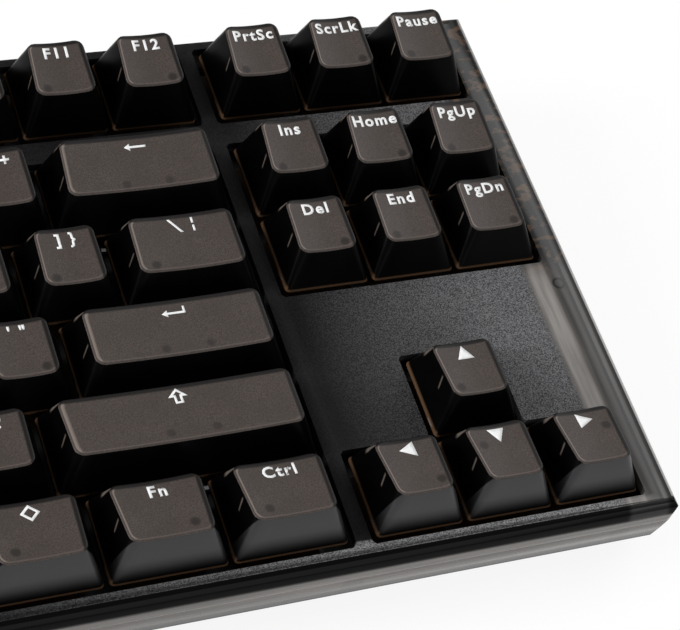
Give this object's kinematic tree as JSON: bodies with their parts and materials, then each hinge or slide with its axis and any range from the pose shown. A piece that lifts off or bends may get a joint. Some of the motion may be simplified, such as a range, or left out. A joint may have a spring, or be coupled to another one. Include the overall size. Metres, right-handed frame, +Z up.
{
  "type": "mechanical keyboard",
  "caption": "Tenkeyless mechanical keyboard: sculpted keycaps that travel on switches in a plate, wire stabilisers, a two-part wedge case, fold-out tilt feet and a USB-C socket.",
  "frame": {"origin": "middle of the footprint, on the desk", "axes": "+X to the right along the key rows, +Y from the typist to the rear, +Z up"},
  "size_m": [0.3636, 0.1318, 0.0385],
  "materials": {
    "bezel_plastic": "fine grain",
    "smoked_plastic": "smoked translucent",
    "keycap_plastic": "smoked translucent, satin top",
    "plate_steel": "black paint",
    "board": "glass-fibre laminate",
    "switch_plastic": "smoked translucent",
    "stabiliser_plastic": "moulded",
    "wire_steel": "drawn",
    "screw_steel": "blackened",
    "socket_steel": "plated",
    "rubber": "matte",
    "foot_plastic": "moulded"
  },
  "bodies": {
    "case": {"top_case": "bezel_plastic", "bottom_case": "smoked_plastic", "switch_plate": "plate_steel", "circuit_board": "board", "switch_housings": "switch_plastic", "stabiliser_housings": "stabiliser_plastic", "case_screws": "screw_steel", "usb_socket": "socket_steel", "rubber_feet": "rubber"},
    "keys_ctrl_to_alt_left": {"keys_ctrl_to_alt_left": "keycap_plastic"},
    "key_space": {"key_space": "keycap_plastic"},
    "key_alt_right": {"key_alt_right": "keycap_plastic"},
    "key_super_right": {"key_super_right": "keycap_plastic"},
    "key_fn": {"key_fn": "keycap_plastic"},
    "key_ctrl_right": {"key_ctrl_right": "keycap_plastic"},
    "key_arrow_left": {"key_arrow_left": "keycap_plastic"},
    "key_arrow_down": {"key_arrow_down": "keycap_plastic"},
    "key_arrow_right": {"key_arrow_right": "keycap_plastic"},
    "key_shift_left": {"key_shift_left": "keycap_plastic"},
    "keys_z_to_b": {"keys_z_to_b": "keycap_plastic"},
    "keys_n_to_period": {"keys_n_to_period": "keycap_plastic"},
    "key_slash": {"key_slash": "keycap_plastic"},
    "key_shift_right": {"key_shift_right": "keycap_plastic"},
    "key_arrow_up": {"key_arrow_up": "keycap_plastic"},
    "keys_caps_to_g": {"keys_caps_to_g": "keycap_plastic"},
    "keys_h_to_semicolon": {"keys_h_to_semicolon": "keycap_plastic"},
    "key_quote": {"key_quote": "keycap_plastic"},
    "key_enter": {"key_enter": "keycap_plastic"},
    "keys_tab_to_t": {"keys_tab_to_t": "keycap_plastic"},
    "keys_y_to_p": {"keys_y_to_p": "keycap_plastic"},
    "key_bracket_left": {"key_bracket_left": "keycap_plastic"},
    "key_bracket_right": {"key_bracket_right": "keycap_plastic"},
    "key_backslash": {"key_backslash": "keycap_plastic"},
    "key_delete": {"key_delete": "keycap_plastic"},
    "key_end": {"key_end": "keycap_plastic"},
    "key_page_down": {"key_page_down": "keycap_plastic"},
    "keys_grave_to_5": {"keys_grave_to_5": "keycap_plastic"},
    "keys_6_to_minus": {"keys_6_to_minus": "keycap_plastic"},
    "key_equals": {"key_equals": "keycap_plastic"},
    "key_backspace": {"key_backspace": "keycap_plastic"},
    "key_insert": {"key_insert": "keycap_plastic"},
    "key_home": {"key_home": "keycap_plastic"},
    "key_page_up": {"key_page_up": "keycap_plastic"},
    "key_escape": {"key_escape": "keycap_plastic"},
    "keys_f1_to_f4": {"keys_f1_to_f4": "keycap_plastic"},
    "keys_f5_to_f8": {"keys_f5_to_f8": "keycap_plastic"},
    "key_f9": {"key_f9": "keycap_plastic"},
    "key_f10": {"key_f10": "keycap_plastic"},
    "key_f11": {"key_f11": "keycap_plastic"},
    "key_f12": {"key_f12": "keycap_plastic"},
    "key_print_screen": {"key_print_screen": "keycap_plastic"},
    "key_scroll_lock": {"key_scroll_lock": "keycap_plastic"},
    "key_pause": {"key_pause": "keycap_plastic"},
    "wire_space": {"wire_space": "wire_steel"},
    "wire_shift_left": {"wire_shift_left": "wire_steel"},
    "wire_shift_right": {"wire_shift_right": "wire_steel"},
    "wire_enter": {"wire_enter": "wire_steel"},
    "wire_backspace": {"wire_backspace": "wire_steel"},
    "tilt_foot_left": {"tilt_foot_left": "foot_plastic"},
    "tilt_foot_right": {"tilt_foot_right": "foot_plastic"}
  },
  "joints": [
    {"name": "keys_ctrl_to_alt_left_press", "type": "slide", "parent": "case", "child": "keys_ctrl_to_alt_left", "axis": [0, 0.0785, -0.9969], "range_m": [0, 0.004], "stiffness_N_per_m": 450, "springref_m": -0.003},
    {"name": "key_space_press", "type": "slide", "parent": "case", "child": "key_space", "axis": [0, 0.0785, -0.9969], "range_m": [0, 0.004], "stiffness_N_per_m": 150, "springref_m": -0.003},
    {"name": "key_alt_right_press", "type": "slide", "parent": "case", "child": "key_alt_right", "axis": [0, 0.0785, -0.9969], "range_m": [0, 0.004], "stiffness_N_per_m": 150, "springref_m": -0.003},
    {"name": "key_super_right_press", "type": "slide", "parent": "case", "child": "key_super_right", "axis": [0, 0.0785, -0.9969], "range_m": [0, 0.004], "stiffness_N_per_m": 150, "springref_m": -0.003},
    {"name": "key_fn_press", "type": "slide", "parent": "case", "child": "key_fn", "axis": [0, 0.0785, -0.9969], "range_m": [0, 0.004], "stiffness_N_per_m": 150, "springref_m": -0.003},
    {"name": "key_ctrl_right_press", "type": "slide", "parent": "case", "child": "key_ctrl_right", "axis": [0, 0.0785, -0.9969], "range_m": [0, 0.004], "stiffness_N_per_m": 150, "springref_m": -0.003},
    {"name": "key_arrow_left_press", "type": "slide", "parent": "case", "child": "key_arrow_left", "axis": [0, 0.0785, -0.9969], "range_m": [0, 0.004], "stiffness_N_per_m": 150, "springref_m": -0.003},
    {"name": "key_arrow_down_press", "type": "slide", "parent": "case", "child": "key_arrow_down", "axis": [0, 0.0785, -0.9969], "range_m": [0, 0.004], "stiffness_N_per_m": 150, "springref_m": -0.003},
    {"name": "key_arrow_right_press", "type": "slide", "parent": "case", "child": "key_arrow_right", "axis": [0, 0.0785, -0.9969], "range_m": [0, 0.004], "stiffness_N_per_m": 150, "springref_m": -0.003},
    {"name": "key_shift_left_press", "type": "slide", "parent": "case", "child": "key_shift_left", "axis": [0, 0.0785, -0.9969], "range_m": [0, 0.004], "stiffness_N_per_m": 150, "springref_m": -0.003},
    {"name": "keys_z_to_b_press", "type": "slide", "parent": "case", "child": "keys_z_to_b", "axis": [0, 0.0785, -0.9969], "range_m": [0, 0.004], "stiffness_N_per_m": 750, "springref_m": -0.003},
    {"name": "keys_n_to_period_press", "type": "slide", "parent": "case", "child": "keys_n_to_period", "axis": [0, 0.0785, -0.9969], "range_m": [0, 0.004], "stiffness_N_per_m": 600, "springref_m": -0.003},
    {"name": "key_slash_press", "type": "slide", "parent": "case", "child": "key_slash", "axis": [0, 0.0785, -0.9969], "range_m": [0, 0.004], "stiffness_N_per_m": 150, "springref_m": -0.003},
    {"name": "key_shift_right_press", "type": "slide", "parent": "case", "child": "key_shift_right", "axis": [0, 0.0785, -0.9969], "range_m": [0, 0.004], "stiffness_N_per_m": 150, "springref_m": -0.003},
    {"name": "key_arrow_up_press", "type": "slide", "parent": "case", "child": "key_arrow_up", "axis": [0, 0.0785, -0.9969], "range_m": [0, 0.004], "stiffness_N_per_m": 150, "springref_m": -0.003},
    {"name": "keys_caps_to_g_press", "type": "slide", "parent": "case", "child": "keys_caps_to_g", "axis": [0, 0.0785, -0.9969], "range_m": [0, 0.004], "stiffness_N_per_m": 900, "springref_m": -0.003},
    {"name": "keys_h_to_semicolon_press", "type": "slide", "parent": "case", "child": "keys_h_to_semicolon", "axis": [0, 0.0785, -0.9969], "range_m": [0, 0.004], "stiffness_N_per_m": 750, "springref_m": -0.003},
    {"name": "key_quote_press", "type": "slide", "parent": "case", "child": "key_quote", "axis": [0, 0.0785, -0.9969], "range_m": [0, 0.004], "stiffness_N_per_m": 150, "springref_m": -0.003},
    {"name": "key_enter_press", "type": "slide", "parent": "case", "child": "key_enter", "axis": [0, 0.0785, -0.9969], "range_m": [0, 0.004], "stiffness_N_per_m": 150, "springref_m": -0.003},
    {"name": "keys_tab_to_t_press", "type": "slide", "parent": "case", "child": "keys_tab_to_t", "axis": [0, 0.0785, -0.9969], "range_m": [0, 0.004], "stiffness_N_per_m": 900, "springref_m": -0.003},
    {"name": "keys_y_to_p_press", "type": "slide", "parent": "case", "child": "keys_y_to_p", "axis": [0, 0.0785, -0.9969], "range_m": [0, 0.004], "stiffness_N_per_m": 750, "springref_m": -0.003},
    {"name": "key_bracket_left_press", "type": "slide", "parent": "case", "child": "key_bracket_left", "axis": [0, 0.0785, -0.9969], "range_m": [0, 0.004], "stiffness_N_per_m": 150, "springref_m": -0.003},
    {"name": "key_bracket_right_press", "type": "slide", "parent": "case", "child": "key_bracket_right", "axis": [0, 0.0785, -0.9969], "range_m": [0, 0.004], "stiffness_N_per_m": 150, "springref_m": -0.003},
    {"name": "key_backslash_press", "type": "slide", "parent": "case", "child": "key_backslash", "axis": [0, 0.0785, -0.9969], "range_m": [0, 0.004], "stiffness_N_per_m": 150, "springref_m": -0.003},
    {"name": "key_delete_press", "type": "slide", "parent": "case", "child": "key_delete", "axis": [0, 0.0785, -0.9969], "range_m": [0, 0.004], "stiffness_N_per_m": 150, "springref_m": -0.003},
    {"name": "key_end_press", "type": "slide", "parent": "case", "child": "key_end", "axis": [0, 0.0785, -0.9969], "range_m": [0, 0.004], "stiffness_N_per_m": 150, "springref_m": -0.003},
    {"name": "key_page_down_press", "type": "slide", "parent": "case", "child": "key_page_down", "axis": [0, 0.0785, -0.9969], "range_m": [0, 0.004], "stiffness_N_per_m": 150, "springref_m": -0.003},
    {"name": "keys_grave_to_5_press", "type": "slide", "parent": "case", "child": "keys_grave_to_5", "axis": [0, 0.0785, -0.9969], "range_m": [0, 0.004], "stiffness_N_per_m": 900, "springref_m": -0.003},
    {"name": "keys_6_to_minus_press", "type": "slide", "parent": "case", "child": "keys_6_to_minus", "axis": [0, 0.0785, -0.9969], "range_m": [0, 0.004], "stiffness_N_per_m": 900, "springref_m": -0.003},
    {"name": "key_equals_press", "type": "slide", "parent": "case", "child": "key_equals", "axis": [0, 0.0785, -0.9969], "range_m": [0, 0.004], "stiffness_N_per_m": 150, "springref_m": -0.003},
    {"name": "key_backspace_press", "type": "slide", "parent": "case", "child": "key_backspace", "axis": [0, 0.0785, -0.9969], "range_m": [0, 0.004], "stiffness_N_per_m": 150, "springref_m": -0.003},
    {"name": "key_insert_press", "type": "slide", "parent": "case", "child": "key_insert", "axis": [0, 0.0785, -0.9969], "range_m": [0, 0.004], "stiffness_N_per_m": 150, "springref_m": -0.003},
    {"name": "key_home_press", "type": "slide", "parent": "case", "child": "key_home", "axis": [0, 0.0785, -0.9969], "range_m": [0, 0.004], "stiffness_N_per_m": 150, "springref_m": -0.003},
    {"name": "key_page_up_press", "type": "slide", "parent": "case", "child": "key_page_up", "axis": [0, 0.0785, -0.9969], "range_m": [0, 0.004], "stiffness_N_per_m": 150, "springref_m": -0.003},
    {"name": "key_escape_press", "type": "slide", "parent": "case", "child": "key_escape", "axis": [0, 0.0785, -0.9969], "range_m": [0, 0.004], "stiffness_N_per_m": 150, "springref_m": -0.003},
    {"name": "keys_f1_to_f4_press", "type": "slide", "parent": "case", "child": "keys_f1_to_f4", "axis": [0, 0.0785, -0.9969], "range_m": [0, 0.004], "stiffness_N_per_m": 600, "springref_m": -0.003},
    {"name": "keys_f5_to_f8_press", "type": "slide", "parent": "case", "child": "keys_f5_to_f8", "axis": [0, 0.0785, -0.9969], "range_m": [0, 0.004], "stiffness_N_per_m": 600, "springref_m": -0.003},
    {"name": "key_f9_press", "type": "slide", "parent": "case", "child": "key_f9", "axis": [0, 0.0785, -0.9969], "range_m": [0, 0.004], "stiffness_N_per_m": 150, "springref_m": -0.003},
    {"name": "key_f10_press", "type": "slide", "parent": "case", "child": "key_f10", "axis": [0, 0.0785, -0.9969], "range_m": [0, 0.004], "stiffness_N_per_m": 150, "springref_m": -0.003},
    {"name": "key_f11_press", "type": "slide", "parent": "case", "child": "key_f11", "axis": [0, 0.0785, -0.9969], "range_m": [0, 0.004], "stiffness_N_per_m": 150, "springref_m": -0.003},
    {"name": "key_f12_press", "type": "slide", "parent": "case", "child": "key_f12", "axis": [0, 0.0785, -0.9969], "range_m": [0, 0.004], "stiffness_N_per_m": 150, "springref_m": -0.003},
    {"name": "key_print_screen_press", "type": "slide", "parent": "case", "child": "key_print_screen", "axis": [0, 0.0785, -0.9969], "range_m": [0, 0.004], "stiffness_N_per_m": 150, "springref_m": -0.003},
    {"name": "key_scroll_lock_press", "type": "slide", "parent": "case", "child": "key_scroll_lock", "axis": [0, 0.0785, -0.9969], "range_m": [0, 0.004], "stiffness_N_per_m": 150, "springref_m": -0.003},
    {"name": "key_pause_press", "type": "slide", "parent": "case", "child": "key_pause", "axis": [0, 0.0785, -0.9969], "range_m": [0, 0.004], "stiffness_N_per_m": 150, "springref_m": -0.003},
    {"name": "wire_space_turn", "type": "hinge", "parent": "case", "child": "wire_space", "pos_m": [-0.04286, -0.06043, 0.01349], "axis": [-1, 0, 0], "range_deg": [0, 28.5]},
    {"name": "wire_shift_left_turn", "type": "hinge", "parent": "case", "child": "wire_shift_left", "pos_m": [-0.1524, -0.04144, 0.01499], "axis": [-1, 0, 0], "range_deg": [0, 28.5]},
    {"name": "wire_shift_right_turn", "type": "hinge", "parent": "case", "child": "wire_shift_right", "pos_m": [0.08572, -0.04144, 0.01499], "axis": [-1, 0, 0], "range_deg": [0, 28.5]},
    {"name": "wire_enter_turn", "type": "hinge", "parent": "case", "child": "wire_enter", "pos_m": [0.09049, -0.02245, 0.01648], "axis": [-1, 0, 0], "range_deg": [0, 28.5]},
    {"name": "wire_backspace_turn", "type": "hinge", "parent": "case", "child": "wire_backspace", "pos_m": [0.09287, 0.01553, 0.01947], "axis": [-1, 0, 0], "range_deg": [0, 28.5]},
    {"name": "tilt_foot_left_fold", "type": "hinge", "parent": "case", "child": "tilt_foot_left", "pos_m": [-0.14383, 0.04691, 0.0038], "axis": [1, 0, 0], "range_deg": [0, 105]},
    {"name": "tilt_foot_right_fold", "type": "hinge", "parent": "case", "child": "tilt_foot_right", "pos_m": [0.14383, 0.04691, 0.0038], "axis": [1, 0, 0], "range_deg": [0, 105]}
  ],
  "couplings": [
    {"joint": "wire_space_turn", "follows": "key_space_press", "rad_per_m": 122.17},
    {"joint": "wire_shift_left_turn", "follows": "key_shift_left_press", "rad_per_m": 122.17},
    {"joint": "wire_shift_right_turn", "follows": "key_shift_right_press", "rad_per_m": 122.17},
    {"joint": "wire_enter_turn", "follows": "key_enter_press", "rad_per_m": 122.17},
    {"joint": "wire_backspace_turn", "follows": "key_backspace_press", "rad_per_m": 122.17}
  ]
}
